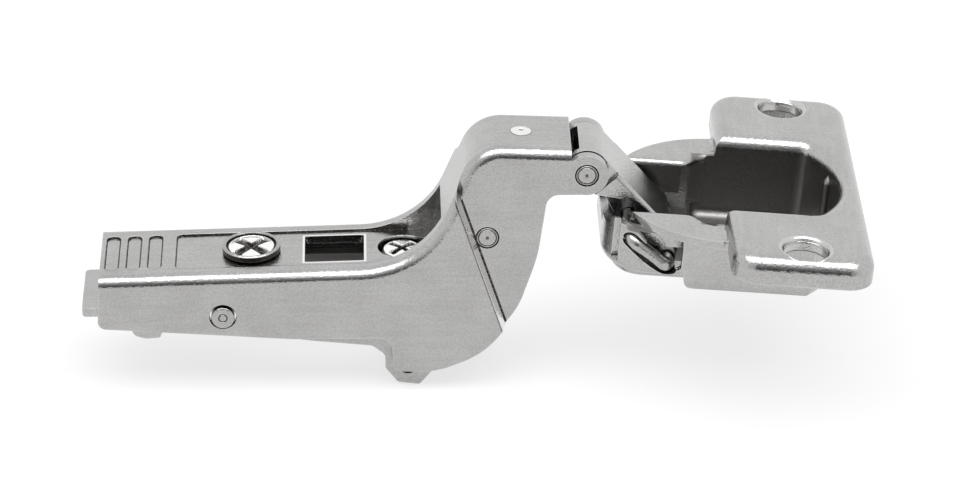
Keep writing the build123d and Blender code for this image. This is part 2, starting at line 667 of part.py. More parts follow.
def make_flange_and_rim():
    """Raised screw flange with its skirt, and the low rim plate to its left."""
    middle = (FLANGE_LEFT_U + FLANGE_RIGHT_U) / 2
    length = FLANGE_RIGHT_U - FLANGE_LEFT_U
    top = Pos(middle, 0) * RectangleRounded(length, 2 * FLANGE_HALF_WIDTH, FLANGE_CORNER_RADIUS)
    flange = Pos(0, 0, -FLANGE_HEIGHT) * extrude(top, amount=FLANGE_HEIGHT)
    flange = fillet(flange.faces().sort_by(Axis.Z)[-1].edges(), FLANGE_EDGE_RADIUS)
    inside = offset(top, -CUP_SHEET)
    flange -= Pos(0, 0, -FAR - CUP_SHEET) * extrude(inside, amount=FAR)
    rim = disc_plan(RIM_RADIUS, FAR, -FAR, FLANGE_LEFT_U + CUP_SHEET)
    shell = flange + Pos(0, 0, RIM_LEVEL) * extrude(rim, amount=-CUP_SHEET)

    def at_skirt_foot(edge):
        m = edge.position_at(0.5)
        return abs(m.Z - RIM_LEVEL) < 0.01 and abs(m.X - FLANGE_LEFT_U) < 0.05

    return fillet([e for e in shell.edges() if at_skirt_foot(e)], SKIRT_FOOT_RADIUS)


def make_cup():
    """Pressed cup: flange, rim, round drum, and a stepped box whose tub clears the links' eyes."""
    under_rim = RIM_LEVEL - CUP_SHEET
    tub_floor = cup_coordinates(CUP_PIVOT_OUTER)[1] - LINK_EYE_RADIUS - TUB_FLOOR_CLEARANCE
    drum_plan = disc_plan(DRUM_RADIUS, DRUM_HALF_WIDTH, DRUM_LEFT_U)
    drum = drawn(drum_plan, -CUP_SHEET / 2, -DRUM_DEPTH, DRUM_BOTTOM_RADIUS)
    drum -= Pos(0, 0, under_rim) * extrude(strip(-FAR, FLANGE_LEFT_U + CUP_SHEET), amount=FAR)
    box_plan = left_rounded_plan(BOX_LEFT_U, BOX_RIGHT_U, DRUM_HALF_WIDTH, BOX_CORNER_RADIUS)
    tub_plan = left_rounded_plan(TUB_LEFT_U, BOX_RIGHT_U, TUB_HALF_WIDTH, TUB_CORNER_RADIUS)
    body = make_flange_and_rim() + drum
    body += drawn(box_plan, under_rim, -BOX_DEPTH, BOX_BOTTOM_RADIUS)
    body += drawn(tub_plan, under_rim, tub_floor - CUP_SHEET, TUB_BOTTOM_RADIUS)

    plan = pocket_plan()
    pocket_left = POCKET_START_U - 0.8
    hollow_right = POCKET_START_U + 1
    body -= drawn(plan & strip(pocket_left, FAR), -0.5, CUP_SHEET - DRUM_DEPTH, POCKET_BOTTOM_RADIUS)
    box_hollow = left_rounded_plan(
        BOX_LEFT_U + CUP_SHEET, hollow_right, DRUM_HALF_WIDTH - CUP_SHEET, BOX_CORNER_RADIUS - CUP_SHEET
    )
    body -= Pos(0, 0, CUP_SHEET - BOX_DEPTH) * extrude(box_hollow, amount=under_rim - CUP_SHEET + BOX_DEPTH)
    tub_hollow = left_rounded_plan(
        TUB_LEFT_U + TUB_SHEET, hollow_right, TUB_HALF_WIDTH - TUB_SHEET, TUB_CORNER_RADIUS - TUB_SHEET
    )
    body -= Pos(0, 0, tub_floor) * extrude(tub_hollow, amount=under_rim - tub_floor)

    lip_height = under_rim - LIP_BOTTOM + 0.2
    lip_place = Pos(LIP_MIDDLE_U, 0, LIP_BOTTOM + lip_height / 2)
    body += lip_place * Box(LIP_LENGTH, 2 * (NECK_HALF_WIDTH + CUP_SHEET), lip_height)
    body -= Pos(LIP_MIDDLE_U, 0, LIP_BOTTOM) * Box(LIP_LENGTH + 1.6, 2 * NECK_HALF_WIDTH, 6)
    body -= Pos(BOX_LEFT_U, 0, -NOTCH_DEPTH / 2) * Box(8, 2 * NOTCH_HALF_WIDTH, NOTCH_DEPTH)
    rim_end = FLANGE_LEFT_U - SKIRT_FOOT_RADIUS - RIM_ROLL
    body -= rolled_cutter(plan & strip(FLANGE_LEFT_U - 2, FAR), 0, POCKET_ROLL, 4)
    body -= rolled_cutter(plan & strip(-FAR, rim_end), RIM_LEVEL, RIM_ROLL, 2.5)

    for side in (-1, 1):
        hole_place = Pos(0, side * SCREW_SPACING / 2, 0)
        body -= hole_place * Cylinder(SCREW_HOLE_RADIUS, 4 * CUP_SHEET)
        rim_cone = Cone(SCREW_HOLE_RADIUS, SCREW_HOLE_RADIUS + SCREW_HOLE_RIM, SCREW_HOLE_RIM)
        body -= hole_place * Pos(0, 0, -SCREW_HOLE_RIM / 2) * rim_cone
        body -= Pos(SLIT_U, side * (DRUM_HALF_WIDTH - 1), SLIT_MIDDLE) * Box(SLIT_WIDTH, 5, SLIT_HEIGHT)
    return cup_place(body) - bow_opening() - make_bow()


def make_bow():
    """Bent wire: two cup pivots joined by a bar in the near cheek."""
    near = -DRUM_HALF_WIDTH + BOW_WIRE_RADIUS
    far = DRUM_HALF_WIDTH
    inner = CUP_PIVOT_INNER
    outer = CUP_PIVOT_OUTER
    route = FilletPolyline(
        (inner[0], far, inner[1]),
        (inner[0], near, inner[1]),
        (outer[0], near, outer[1]),
        (outer[0], far, outer[1]),
        radius=BOW_BEND_RADIUS,
    )
    ring = Plane(origin=route @ 0, z_dir=route % 0) * Circle(BOW_WIRE_RADIUS)
    return sweep(ring, path=route)


def bow_opening():
    """Opening in the near cheek: a slot round the bow's bar and the corner above it."""
    a = CUP_PIVOT_INNER
    b = CUP_PIVOT_OUTER
    angle = degrees(atan2(b[1] - a[1], b[0] - a[0]))
    length = hypot(b[0] - a[0], b[1] - a[1])
    outside = -DRUM_HALF_WIDTH - 5
    inside = -TUB_HALF_WIDTH - 0.1
    slot = obround(a, angle, 0, length, BOW_WIRE_RADIUS + 0.2, outside, inside)
    inner_u = cup_coordinates(a)[0]
    outer_u, outer_n = cup_coordinates(b)
    top = RIM_LEVEL - CUP_SHEET - 0.3
    right = CHEEK_WINDOW_RIGHT_U
    corners = [(inner_u + 0.6, top, 0), (right, top, 0.6), (right, outer_n, 0.6), (outer_u, outer_n, 0)]
    return slot + cup_place(slab(corners, outside, inside))


def make_closing_spring(side):
    """Closing spring round the cup's outer pivot, near or far of the link."""
    length = CLOSING_TURNS * CLOSING_WIRE
    start = LINK_HALF_WIDTH + CLOSING_SPRING_GAP
    y_start = start if side > 0 else -start - length
    inner = BOW_WIRE_RADIUS + RUNNING_CLEARANCE
    return coil_sleeve(CUP_PIVOT_OUTER, inner, CLOSING_WIRE, CLOSING_TURNS, y_start)


PARTS = {
    "arm": make_arm(),
    "adapter": make_adapter(),
    "release_lever": make_release_lever(),
    "lever_axle": make_lever_axle(),
    "lever_spring": make_lever_spring(),
    "rear_tilt_pin": make_rear_tilt_pin(),
    "depth_cam_screw": make_depth_cam_screw(),
    "cam_retaining_ring": make_cam_retaining_ring(),
    "side_screw": make_side_screw(),
    "outer_link_axle": make_axle(HEAD_AXLE),
    "inner_link_axle": make_axle(INNER_AXLE),
    "outer_link": make_outer_link(),
    "inner_link": make_inner_link(),
    "cup": make_cup(),
    "cup_axle_bow": make_bow(),
    "closing_spring_near": make_closing_spring(-1),
    "closing_spring_far": make_closing_spring(1),
}

for name, solid in PARTS.items():
    export_step(solid, f"parts/{name}.step")
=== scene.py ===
import json
from math import cos, radians, sin

import bmesh
import bpy
import numpy as np
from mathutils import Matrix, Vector


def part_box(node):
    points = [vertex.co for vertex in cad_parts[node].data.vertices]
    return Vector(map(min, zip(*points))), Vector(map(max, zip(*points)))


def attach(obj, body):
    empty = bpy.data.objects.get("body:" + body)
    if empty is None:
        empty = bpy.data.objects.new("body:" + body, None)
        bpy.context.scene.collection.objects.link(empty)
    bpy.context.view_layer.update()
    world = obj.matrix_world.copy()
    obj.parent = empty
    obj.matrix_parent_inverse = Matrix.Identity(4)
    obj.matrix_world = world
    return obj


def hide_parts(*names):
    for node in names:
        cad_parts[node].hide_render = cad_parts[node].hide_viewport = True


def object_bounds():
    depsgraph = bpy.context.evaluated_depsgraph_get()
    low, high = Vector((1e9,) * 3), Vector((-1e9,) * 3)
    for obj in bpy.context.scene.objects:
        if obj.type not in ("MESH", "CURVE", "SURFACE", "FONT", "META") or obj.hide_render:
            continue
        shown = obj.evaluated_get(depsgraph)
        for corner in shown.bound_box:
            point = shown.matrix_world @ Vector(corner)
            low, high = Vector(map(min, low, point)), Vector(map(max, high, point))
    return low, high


# Concealed cup hinge: dressed solids, turned screws and rivets, coiled springs.
# Lengths are metres; a length named in millimetres is multiplied by MM.
MM = 0.001

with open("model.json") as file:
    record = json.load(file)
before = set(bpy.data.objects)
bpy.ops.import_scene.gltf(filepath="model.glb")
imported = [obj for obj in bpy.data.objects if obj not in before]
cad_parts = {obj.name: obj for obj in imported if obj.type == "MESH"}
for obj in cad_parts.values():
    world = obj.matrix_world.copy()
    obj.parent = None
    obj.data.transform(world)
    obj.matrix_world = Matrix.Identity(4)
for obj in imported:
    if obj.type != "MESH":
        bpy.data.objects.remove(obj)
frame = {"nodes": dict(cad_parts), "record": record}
cad_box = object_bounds()
nodes = frame["nodes"]
record = frame["record"]
body_of = {name: body for body, names in record["behaviour"]["bodies"].items() for name in names}
slot_of = {part["node"]: part["material_slot"] for part in record["subparts"]}


def middle(name):
    """Centre of a node's box."""
    low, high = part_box(name)
    return (Vector(low) + Vector(high)) / 2


# Shader maths

# Sockets of a Mix node that is set to colours
MIX_LOW = 6
MIX_HIGH = 7
MIX_COLOUR = 2

# Dot product of the plain and the rounded normal on a flat and on a worn edge
FLAT_LIKENESS = 0.995
EDGE_LIKENESS = 0.9


class Value:
    """A number socket of a material; Python operators on it add Math nodes."""

    def __init__(self, shader, socket):
        self.shader = shader
        self.socket = socket

    def maths(self, operation, *values):
        """Result of one Math node."""
        node = self.shader.node("ShaderNodeMath", {"operation": operation}, dict(enumerate(values)))
        return Value(self.shader, node.outputs[0])

    def __add__(self, other):
        return self.maths("ADD", self, other)

    __radd__ = __add__

    def __sub__(self, other):
        return self.maths("SUBTRACT", self, other)

    def __rsub__(self, other):
        return self.maths("SUBTRACT", other, self)

    def __mul__(self, other):
        return self.maths("MULTIPLY", self, other)

    __rmul__ = __mul__

    def size(self):
        return self.maths("ABSOLUTE", self)

    def root(self):
        return self.maths("SQRT", self)

    def at_least(self, low):
        return self.maths("MAXIMUM", self, low)

    def at_most(self, high):
        return self.maths("MINIMUM", self, high)

    def clamped(self):
        return self.at_least(0.0).at_most(1.0)

    def rises(self, start, end):
        """0 below start, 1 above end and straight between; start may lie above end."""
        return ((self - start) * (1 / (end - start))).clamped()

    def within(self, limit, fade):
        """1 up to a limit, falling to 0 over a fade past it."""
        return self.rises(limit + fade, limit)

    def beyond(self, limit, fade):
        """1 from a limit on, rising from 0 over a fade before it."""
        return self.rises(limit - fade, limit)


class Shader:
    """Node tree of one material or of the world."""

    def __init__(self, tree):
        self.tree = tree
        tree.nodes.clear()

    def node(self, kind, settings=None, inputs=None):
        """One node of a type: its settings first, then the values or links of its sockets."""
        made = self.tree.nodes.new(kind)
        for key, value in (settings or {}).items():
            setattr(made, key, value)
        for key, value in (inputs or {}).items():
            socket = made.inputs[key]
            if isinstance(value, Value):
                self.tree.links.new(value.socket, socket)
            elif isinstance(value, bpy.types.NodeSocket):
                self.tree.links.new(value, socket)
            else:
                socket.default_value = value
        return made

    def value(self, kind, settings=None, inputs=None, output=0):
        """Number that one output of a new node gives."""
        return Value(self, self.node(kind, settings, inputs).outputs[output])

    def coordinates(self):
        """Object coordinates as three numbers, in metres."""
        where = self.node("ShaderNodeTexCoord").outputs["Object"]
        split = self.node("ShaderNodeSeparateXYZ", {}, {0: where})
        return [Value(self, socket) for socket in split.outputs]

    def noise(self, scale, detail, stretch=(1, 1, 1)):
        """Noise from 0 to 1 with features 1/scale metres wide, stretched per axis."""
        where = self.node("ShaderNodeTexCoord").outputs["Object"]
        where = self.node("ShaderNodeMapping", {}, {"Vector": where, "Scale": stretch}).outputs[0]
        return self.value("ShaderNodeTexNoise", {}, {"Vector": where, "Scale": scale, "Detail": detail})

    def mixed(self, factor, low, high):
        """Colour between two colours by a factor; each colour is three numbers or a socket."""
        inputs = {0: factor}
        for index, colour in ((MIX_LOW, low), (MIX_HIGH, high)):
            inputs[index] = colour if isinstance(colour, bpy.types.NodeSocket) else (*colour, 1)
        return self.node("ShaderNodeMix", {"data_type": "RGBA"}, inputs).outputs[MIX_COLOUR]

    def edge_wear(self, radius):
        """1 where the surface turns sharply within a radius, 0 on flats."""
        rounded = self.node("ShaderNodeBevel", {"samples": 4}, {"Radius": radius}).outputs[0]
        plain = self.node("ShaderNodeNewGeometry").outputs["Normal"]
        normals = {0: rounded, 1: plain}
        likeness = self.value("ShaderNodeVectorMath", {"operation": "DOT_PRODUCT"}, normals, output=1)
        return likeness.rises(FLAT_LIKENESS, EDGE_LIKENESS)


def new_material(name):
    """A material and the shader that fills its node tree."""
    material = bpy.data.materials.new(name)
    material.use_nodes = True
    return material, Shader(material.node_tree)


# Plated metal

# Noise features in each metre
CLOUDS = 160.0
SCRATCHES = 1500.0
SPECKS = 3600.0

# Shares of a plate's grey level in its dark and light clouds and on its worn edges
DARK_SHARE = 0.82
LIGHT_SHARE = 1.14
WORN_SHARE = 1.5

# Grey levels painted on the plate: painted shade in grooves, along lines and in hollows, and painted
# highlights on lit borders and on the tops of turned pieces
GROOVE_SHADE_GREY = 0.02
LINE_GREY = 0.03
SHADE_GREY = 0.2
BORDER_HIGHLIGHT_GREY = 0.85
TOP_HIGHLIGHT_GREY = 0.9
WARMTH = 0.004

WEAR_RADIUS = 0.35 * MM
RELIEF_DEPTH = 0.06 * MM


def grey(level):
    """Slightly warm grey of a level."""
    return level + WARMTH, level, level - WARMTH


def plated_metal(name, level, roughness, grain=(1, 1, 1), shade=None, lines=None, turned=False):
    """Satin plate: cloudy colour and roughness, scratches along the grain, press texture, worn edges.

    shade(shader) gives 1 where painted shade darkens the plate. lines(shader) gives two values: 1 along
    lines of painted shade, and 1 on borders with a painted highlight. A turned piece carries an attribute
    that is 1 on its tops, which get a painted highlight, and -1 in its grooves, which get painted shade.
    """
    material, shader = new_material(name)
    clouds = shader.noise(CLOUDS, 5.0)
    specks = shader.noise(SPECKS, 2.0)
    scratches = shader.noise(SCRATCHES, 3.0, grain)
    worn = shader.edge_wear(WEAR_RADIUS) * clouds.rises(0.3, 0.6)
    tone = clouds.rises(0.3, 0.7) * 0.35 + scratches.rises(0.35, 0.65) * 0.2
    tone = tone + specks.rises(0.38, 0.62) * 0.45
    colour = shader.mixed(tone, grey(level * DARK_SHARE), grey(level * LIGHT_SHARE))
    colour = shader.mixed(worn * 0.7, colour, grey(level * WORN_SHARE))
    rough = (clouds - 0.5) * 0.1 + (scratches - 0.5) * 0.12 + roughness - worn * 0.06
    height = scratches * 0.3 + specks * 0.7
    if turned:
        light_and_gloss = shader.value("ShaderNodeAttribute", {"attribute_name": "light_and_gloss"}, output=2)
        polish_and_highlight = light_and_gloss.clamped()
        painted_shade = (0 - light_and_gloss).clamped()
        # Painted highlight and a smoother finish on a turned piece's tops, painted shade and a rougher
        # finish in its grooves
        colour = shader.mixed(polish_and_highlight, colour, grey(TOP_HIGHLIGHT_GREY))
        colour = shader.mixed(painted_shade * 0.92, colour, grey(GROOVE_SHADE_GREY))
        rough = rough - polish_and_highlight * 0.08 + painted_shade * 0.1
    if shade:
        # Painted shade where the shade mask is 1
        painted_shade = shade(shader)
        colour = shader.mixed(painted_shade * (clouds * 0.3 + specks * 0.1 + 0.7), colour, grey(SHADE_GREY))
        rough = rough + painted_shade * 0.14
    if lines:
        # Painted shade along the dark lines and a painted highlight on lit borders
        dark, lit_border = lines(shader)
        colour = shader.mixed(dark * specks.rises(0.25, 0.5) * 0.92, colour, grey(LINE_GREY))
        colour = shader.mixed(lit_border, colour, grey(BORDER_HIGHLIGHT_GREY))
        height = height - dark * 1.5
    relief = {"Strength": 1.0, "Distance": RELIEF_DEPTH, "Height": height}
    bumped = shader.node("ShaderNodeBump", {}, relief)
    surface = shader.node("ShaderNodeBsdfPrincipled", {}, {
        "Base Color": colour,
        "Metallic": 1.0,
        "Roughness": rough,
        "Normal": bumped.outputs[0],
    })
    shader.node("ShaderNodeOutputMaterial", {}, {"Surface": surface.outputs[0]})
    return material


# The cup's own axes: u along the flange, v across the hinge, n out of the pocket

CUP_ORIGIN = (55.7 * MM, 26.8 * MM)
CUP_TILT = radians(5.0)
CUP_OUT = (sin(CUP_TILT), 0, cos(CUP_TILT))
CUP_ALONG = (cos(CUP_TILT), 0, -sin(CUP_TILT))

POCKET_CENTRE_U = -9.5 * MM
POCKET_RADIUS = 16.3 * MM
POCKET_HALF_WIDTH = 10.9 * MM
NECK_HALF_WIDTH = 8.1 * MM
NECK_END_U = -13.6 * MM
NECK_REAR_U = -23.6 * MM

# The painted shade takes in each wall by a margin, fades over a short way, and starts at a depth
POCKET_MARGIN = 0.5 * MM
POCKET_SIDE_MARGIN = 0.4 * MM
NECK_MARGIN = 0.3 * MM
WALL_FADE = 0.2 * MM
JOIN_FADE = 0.3 * MM
REAR_FADE = 0.6 * MM
POCKET_DARK_N = -1.9 * MM
POCKET_DARK_FADE = 0.9 * MM
NECK_DARK_N = -3.9 * MM
NECK_DARK_FADE = 0.5 * MM

# The painted shadow beneath the rim, a band between two depths, behind one u and outside one v
RIM_LOW_N = -4.7 * MM
RIM_LOW_FADE = 0.25 * MM
RIM_HIGH_N = -4.22 * MM
RIM_HIGH_FADE = 0.04 * MM
RIM_FRONT_U = -10.8 * MM
RIM_INNER_V = 11.2 * MM
RIM_FADE = 0.4 * MM


def cup_point(u, v, n):
    """Point of the hinge's frame from cup coordinates."""
    x = CUP_ORIGIN[0] + u * cos(CUP_TILT) + n * sin(CUP_TILT)
    z = CUP_ORIGIN[1] - u * sin(CUP_TILT) + n * cos(CUP_TILT)
    return np.stack(np.broadcast_arrays(x, v, z), -1)


def cup_coordinates(shader):
    """Object coordinates turned into the cup's u, v and n."""
    x, y, z = shader.coordinates()
    dx = x - CUP_ORIGIN[0]
    dz = z - CUP_ORIGIN[1]
    u = dx * cos(CUP_TILT) - dz * sin(CUP_TILT)
    n = dx * sin(CUP_TILT) + dz * cos(CUP_TILT)
    return u, y, n


def pocket_shade(shader):
    """Painted shade: 1 inside the pocket, inside its narrower neck and under the rim, fading at their
    rolled edges.
    """
    u, v, n = cup_coordinates(shader)
    aside = v.size()
    out = u - POCKET_CENTRE_U
    reach = (out * out + v * v).root()
    in_pocket = reach.within(POCKET_RADIUS + POCKET_MARGIN, WALL_FADE)
    in_pocket = in_pocket * aside.within(POCKET_HALF_WIDTH + POCKET_SIDE_MARGIN, WALL_FADE)
    in_pocket = in_pocket * n.within(POCKET_DARK_N, POCKET_DARK_FADE) * u.beyond(NECK_END_U, JOIN_FADE)
    in_neck = aside.within(NECK_HALF_WIDTH + NECK_MARGIN, WALL_FADE)
    in_neck = in_neck * n.within(NECK_DARK_N, NECK_DARK_FADE) * u.within(NECK_END_U - JOIN_FADE, JOIN_FADE)
    in_neck = in_neck * u.beyond(NECK_REAR_U, REAR_FADE)
    under_rim = n.beyond(RIM_LOW_N, RIM_LOW_FADE) * n.within(RIM_HIGH_N, RIM_HIGH_FADE)
    under_rim = under_rim * u.within(RIM_FRONT_U, RIM_FADE) * aside.beyond(RIM_INNER_V, RIM_FADE) * 1.2
    return in_pocket.at_least(in_neck).at_least(under_rim)


# Painted shade round the arm's ears on the link's sides

HEAD_AXLE = (25.7 * MM, 30.4 * MM)
EAR_RADIUS = 3.1 * MM
EAR_RING_INNER = -0.2 * MM
EAR_RING_OUTER = 0.3 * MM
LINK_SIDE_Y = 5.0 * MM


def ear_shade(shader):
    """1 on the link's sides in a thin ring round the arm's ears, where painted shade darkens the gap."""
    x, y, z = shader.coordinates()
    dx = x - HEAD_AXLE[0]
    dz = z - HEAD_AXLE[1]
    past_ear = (dx * dx + dz * dz).root() - EAR_RADIUS
    ring = past_ear.within(EAR_RING_OUTER, 0.2 * MM) * past_ear.beyond(EAR_RING_INNER, 0.1 * MM)
    return ring * y.size().beyond(LINK_SIDE_Y, 0.1 * MM)


# Outlines pressed into the arm's flat top: a row of obround marks and a shallow panel, with the window.
# Painted shade darkens them; a painted highlight brightens the window's border and the crease's strip

ARM_TOP_LOW = 14.3 * MM
ARM_TOP_HIGH = 17.0 * MM
MARK_PLACES = [(-42.6 + 3.08 * i) * MM for i in range(3)]
MARK_HALF_LENGTH = 4.2 * MM
MARK_RADIUS = 1.0 * MM
PANEL_REAR = -33.4 * MM
PANEL_FRONT = 0.0
PANEL_HALF_WIDTH = 5.3 * MM
PANEL_CORNER = 1.0 * MM
LINE_HALF_WIDTH = 0.13 * MM
LINE_CORE = 0.3 * LINE_HALF_WIDTH
LINE_FADE = LINE_HALF_WIDTH - LINE_CORE

WINDOW_X = -10.5 * MM
WINDOW_HALF_LENGTH = 4.25 * MM
WINDOW_HALF_WIDTH = 3.95 * MM
BORDER_INNER = 0.05 * MM
BORDER_OUTER = 0.25 * MM
BORDER_LOW = 14.9 * MM

TILT_HOLE = (-26.63 * MM, 9.16 * MM)
TILT_HOLE_RADIUS = 1.93 * MM

# The crease on the arm's side between its wide rear and its narrow head: x falls by the lean as z rises
CREASE_TOP = (8.05 * MM, 26.1 * MM)
CREASE_LEAN = 0.3207
CREASE_WIDTH = 0.86 * MM
CREASE_STRIP = (-0.7 * MM, -0.14 * MM)
CREASE_EDGE = 0.05 * MM
CREASE_INNER_Y = 6.34 * MM
CREASE_OUTER_Y = 8.08 * MM
CREASE_HIGH = 26.5 * MM


def pressed_outlines(x, across):
    """1 in a thin band along the marks' outlines and along the panel's, which is open in front."""
    behind = PANEL_REAR + PANEL_CORNER - x
    over = across - (PANEL_HALF_WIDTH - PANEL_CORNER)
    out_behind = behind.at_least(0.0)
    out_over = over.at_least(0.0)
    corner = (out_behind * out_behind + out_over * out_over).root()
    to_panel = (corner + behind.at_least(over).at_most(0.0) - PANEL_CORNER).size()
    outlines = to_panel.within(LINE_CORE, LINE_FADE) * x.within(PANEL_FRONT, 0.5 * MM)
    past_straight = (across - MARK_HALF_LENGTH).at_least(0.0)
    for place in MARK_PLACES:
        beside = x - place
        to_mark = ((beside * beside + past_straight * past_straight).root() - MARK_RADIUS).size()
        outlines = outlines.at_least(to_mark.within(LINE_CORE, LINE_FADE))
    return outlines


def crease_lines(x, across, z):
    """1 along the crease's two edges, for painted shade, and 1 on the strip between them, for a painted
    highlight.
    """
    past_crease = x - CREASE_TOP[0] + (z - CREASE_TOP[1]) * CREASE_LEAN
    on_crease = across.within(CREASE_OUTER_Y, 0.04 * MM) * across.beyond(CREASE_INNER_Y, 0.04 * MM)
    on_crease = on_crease * z.within(CREASE_HIGH, 1.0 * MM)
    outer_edge = (past_crease + CREASE_WIDTH).size().within(CREASE_EDGE, 0.11 * MM)
    inner_edge = past_crease.size().within(CREASE_EDGE, 0.11 * MM)
    strip = past_crease.beyond(CREASE_STRIP[0], 0.08 * MM) * past_crease.within(CREASE_STRIP[1], 0.08 * MM)
    return outer_edge.at_least(inner_edge) * on_crease, strip * on_crease


def arm_lines(shader):
    """The arm's lines of painted shade and its borders with a painted highlight.

    Painted shade lies on the pressed outlines, the walls of the window and of the tilt pin's hole, and the
    crease's edges. Painted highlights lie on the window's border and the crease's strip.
    """
    x, y, z = shader.coordinates()
    across = y.size()
    on_top = z.beyond(ARM_TOP_LOW, 0.3 * MM) * z.within(ARM_TOP_HIGH, 0.4 * MM)
    past_window = ((x - WINDOW_X).size() - WINDOW_HALF_LENGTH).at_least(across - WINDOW_HALF_WIDTH)
    in_window = past_window.within(0.0, 0.04 * MM)
    border = past_window.within(BORDER_OUTER, 0.2 * MM) * past_window.beyond(BORDER_INNER, 0.05 * MM)
    border = border * on_top * z.beyond(BORDER_LOW, 0.15 * MM)
    hole_x = x - TILT_HOLE[0]
    hole_z = z - TILT_HOLE[1]
    in_hole = (hole_x * hole_x + hole_z * hole_z).root().within(TILT_HOLE_RADIUS, 0.05 * MM)
    crease_edges, crease_strip = crease_lines(x, across, z)
    dark = (pressed_outlines(x, across) * on_top).at_least(crease_edges)
    return dark.at_least(in_window).at_least(in_hole), border.at_least(crease_strip)


# Painted shade on what shows through the window: half lengths and the height above which it is dark
SEEN_HALF_LENGTH = 6.5 * MM
SEEN_HALF_WIDTH = 5.6 * MM
SEEN_LOW = 6.0 * MM


def window_shade(shader):
    """Painted shade: 1 on what shows through the arm's window."""
    x, y, z = shader.coordinates()
    along = (x - WINDOW_X).size().within(SEEN_HALF_LENGTH, 1.0 * MM)
    return along * y.size().within(SEEN_HALF_WIDTH, 0.6 * MM) * z.beyond(SEEN_LOW, 2.0 * MM)


# Each finish by its level of grey, its roughness and the stretch of its scratches along the grain
nickel = plated_metal("nickel plated sheet", 0.42, 0.17, (0.08, 1, 1))
arm_nickel = plated_metal("nickel plated arm", 0.42, 0.17, (0.08, 1, 1), lines=arm_lines)
cup_nickel = plated_metal("nickel plated cup", 0.43, 0.17, (1, 0.15, 1), shade=pocket_shade)
link_nickel = plated_metal("nickel plated link", 0.45, 0.18, (0.3, 1, 0.3), shade=ear_shade)
inner_nickel = plated_metal("nickel plated inner sheet", 0.4, 0.24, (0.1, 1, 1), shade=window_shade)
screw_steel = plated_metal("nickel plated screw", 0.36, 0.2, turned=True)
pin_steel = plated_metal("turned pin steel", 0.42, 0.2, (1, 0.1, 1), turned=True)
spring_steel = plated_metal("oiled spring wire", 0.28, 0.26)
finish_of = {
    "plated_sheet": nickel,
    "plated_screw": screw_steel,
    "pin_steel": pin_steel,
    "spring_steel": spring_steel,
}
special_finish = {
    "arm": arm_nickel,
    "cup": cup_nickel,
    "adapter": inner_nickel,
    "outer_link": link_nickel,
}


# Pieces from the solids

EDGE_WIDTH = 0.12 * MM
MERGE_WIDTH = 0.002 * MM
SEAM_WIDTH = 0.0001 * MM


def join_body(piece, name):
    """Give a piece the body of a node."""
    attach(piece, body_of[name])


def stand_for(piece, name):
    """Show a piece in place of a node."""
    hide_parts(name)
    join_body(piece, name)


def new_object(name, mesh):
    """Object at the origin that shows a mesh, all its faces shaded smoothly."""
    mesh.polygons.foreach_set("use_smooth", np.ones(len(mesh.polygons), bool))
    piece = bpy.data.objects.new(name, mesh)
    bpy.context.scene.collection.objects.link(piece)
    return piece


def dress(name):
    """Show a node's own shape with its sharp edges broken by a small radius and shaded smoothly."""
    mesh = nodes[name].data.copy()
    mesh.name = name + "_dressed"
    work = bmesh.new()
    work.from_mesh(mesh)
    bmesh.ops.remove_doubles(work, verts=work.verts, dist=MERGE_WIDTH)
    bmesh.ops.dissolve_limit(work, angle_limit=radians(1.0), verts=work.verts, edges=work.edges)
    work.to_mesh(mesh)
    work.free()
    mesh.materials.clear()
    mesh.materials.append(special_finish.get(name, finish_of[slot_of[name]]))
    piece = new_object(name + "_piece", mesh)
    bevel = piece.modifiers.new("edge", "BEVEL")
    bevel.width = EDGE_WIDTH
    bevel.segments = 2
    bevel.limit_method = "ANGLE"
    bevel.angle_limit = radians(35)
    bevel.use_clamp_overlap = True
    normals = piece.modifiers.new("flats", "WEIGHTED_NORMAL")
    normals.mode = "FACE_AREA"
    normals.weight = 100
    normals.keep_sharp = False
    stand_for(piece, name)


# Pieces worked out on grids

def grid_piece(name, points, material, light_and_gloss=None):
    """Closed surface from a (rows, around, 3) grid: each row is a ring that closes on itself."""
    rows, around = points.shape[:2]
    index = np.arange(rows * around).reshape(rows, around)
    beside = np.roll(index, -1, axis=1)
    quads = np.stack([index[:-1], beside[:-1], beside[1:], index[1:]], -1).reshape(-1, 4)
    mesh = bpy.data.meshes.new(name)
    mesh.from_pydata(points.reshape(-1, 3), [], quads)
    if light_and_gloss is not None:
        layer = mesh.attributes.new("light_and_gloss", "FLOAT", "POINT")
        layer.data.foreach_set("value", light_and_gloss.astype(np.float32).ravel())
    work = bmesh.new()
    work.from_mesh(mesh)
    bmesh.ops.remove_doubles(work, verts=work.verts, dist=SEAM_WIDTH)
    bmesh.ops.recalc_face_normals(work, faces=work.faces)
    work.to_mesh(mesh)
    work.free()
    mesh.materials.append(material)
    return new_object(name, mesh)


def profile_points(corners, step):
    """Points along a broken (radius, height) line in millimetres, no further apart than a step."""
    corners = np.array(corners) * MM
    lengths = np.hypot(*np.diff(corners, axis=0).T)
    counts = np.maximum(np.ceil(lengths / step).astype(int), 1)
    sides = zip(corners[:-1], corners[1:], counts)
    runs = [np.linspace(start, end, count, endpoint=False) for start, end, count in sides]
    return np.concatenate([*runs, corners[-1:]])


def smooth(value):
    """0 below 0, 1 above 1 and an easy curve between."""
    value = np.clip(value, 0, 1)
    return value * value * (3 - 2 * value)


